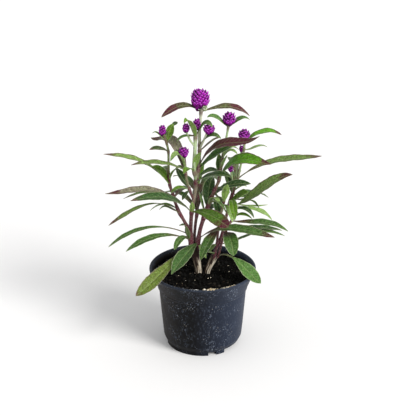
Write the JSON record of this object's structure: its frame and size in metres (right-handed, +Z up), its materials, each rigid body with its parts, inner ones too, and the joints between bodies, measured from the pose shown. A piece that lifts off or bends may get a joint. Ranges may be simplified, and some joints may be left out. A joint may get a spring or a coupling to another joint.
{
  "type": "potted flowering plant",
  "caption": "Potted globe amaranth: a round black nursery pot of potting mix with upright leafy stems and papery magenta globe flower heads.",
  "frame": {"origin": "centre of the pot's flat base, on the surface that the pot stands on", "axes": "+Z up, +X to the right of the front view, +Y away from the front view"},
  "size_m": [0.2383, 0.1384, 0.2987],
  "materials": {
    "pot_plastic": "matte, scuffed",
    "potting_mix": "matte, crumbly",
    "bark": "matte",
    "leafy_stem": "satin, finely hairy",
    "flower_head": "matte, papery"
  },
  "bodies": {
    "root": {"pot": "pot_plastic", "soil": "potting_mix", "woody_base_left": "bark", "woody_base_right": "bark", "stem_tall": "leafy_stem", "stem_pale": "leafy_stem", "stem_dark": "leafy_stem", "stem_left": "leafy_stem", "stem_mid": "leafy_stem", "stem_right": "leafy_stem", "stem_far": "leafy_stem", "stem_low": "leafy_stem", "stem_low_outer": "leafy_stem", "head_01": "flower_head", "head_02": "flower_head", "head_03": "flower_head", "head_04": "flower_head", "head_05": "flower_head", "head_06": "flower_head", "head_07": "flower_head", "head_08": "flower_head", "head_09": "flower_head", "head_10": "flower_head"}
  },
  "joints": []
}
